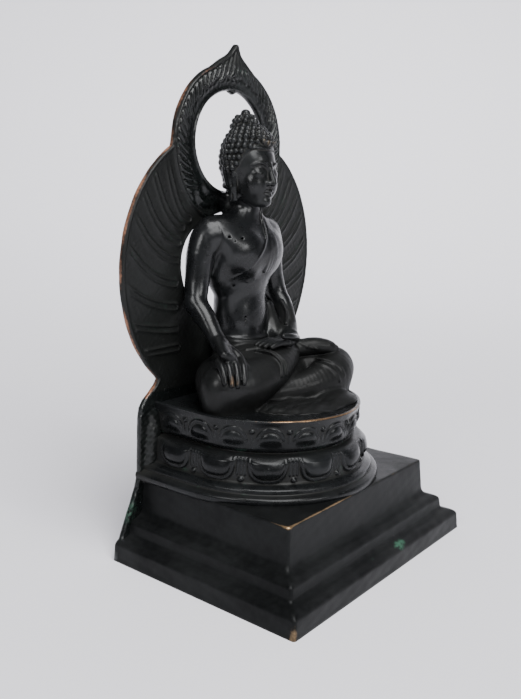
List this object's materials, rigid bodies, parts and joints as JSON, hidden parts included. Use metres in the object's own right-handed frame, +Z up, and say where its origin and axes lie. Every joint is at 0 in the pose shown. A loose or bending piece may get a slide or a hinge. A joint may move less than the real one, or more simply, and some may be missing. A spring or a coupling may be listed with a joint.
{
  "type": "metal buddha statue",
  "caption": "Small cast bronze seated Buddha touching the earth, on a lotus throne and stepped plinth, before a pierced flame mandorla.",
  "frame": {"origin": "middle of the footprint, on the underside of the plinth", "axes": "+Z up, the figure faces -Y, its right hand is on the -X side"},
  "size_m": [0.13, 0.09, 0.205],
  "materials": {
    "patinated_bronze": "near-black patina over cast bronze, semi-gloss, worn to copper and brass on its edges, with small spots of verdigris"
  },
  "bodies": {
    "root": {"buddha_statue": "patinated_bronze"}
  },
  "joints": []
}
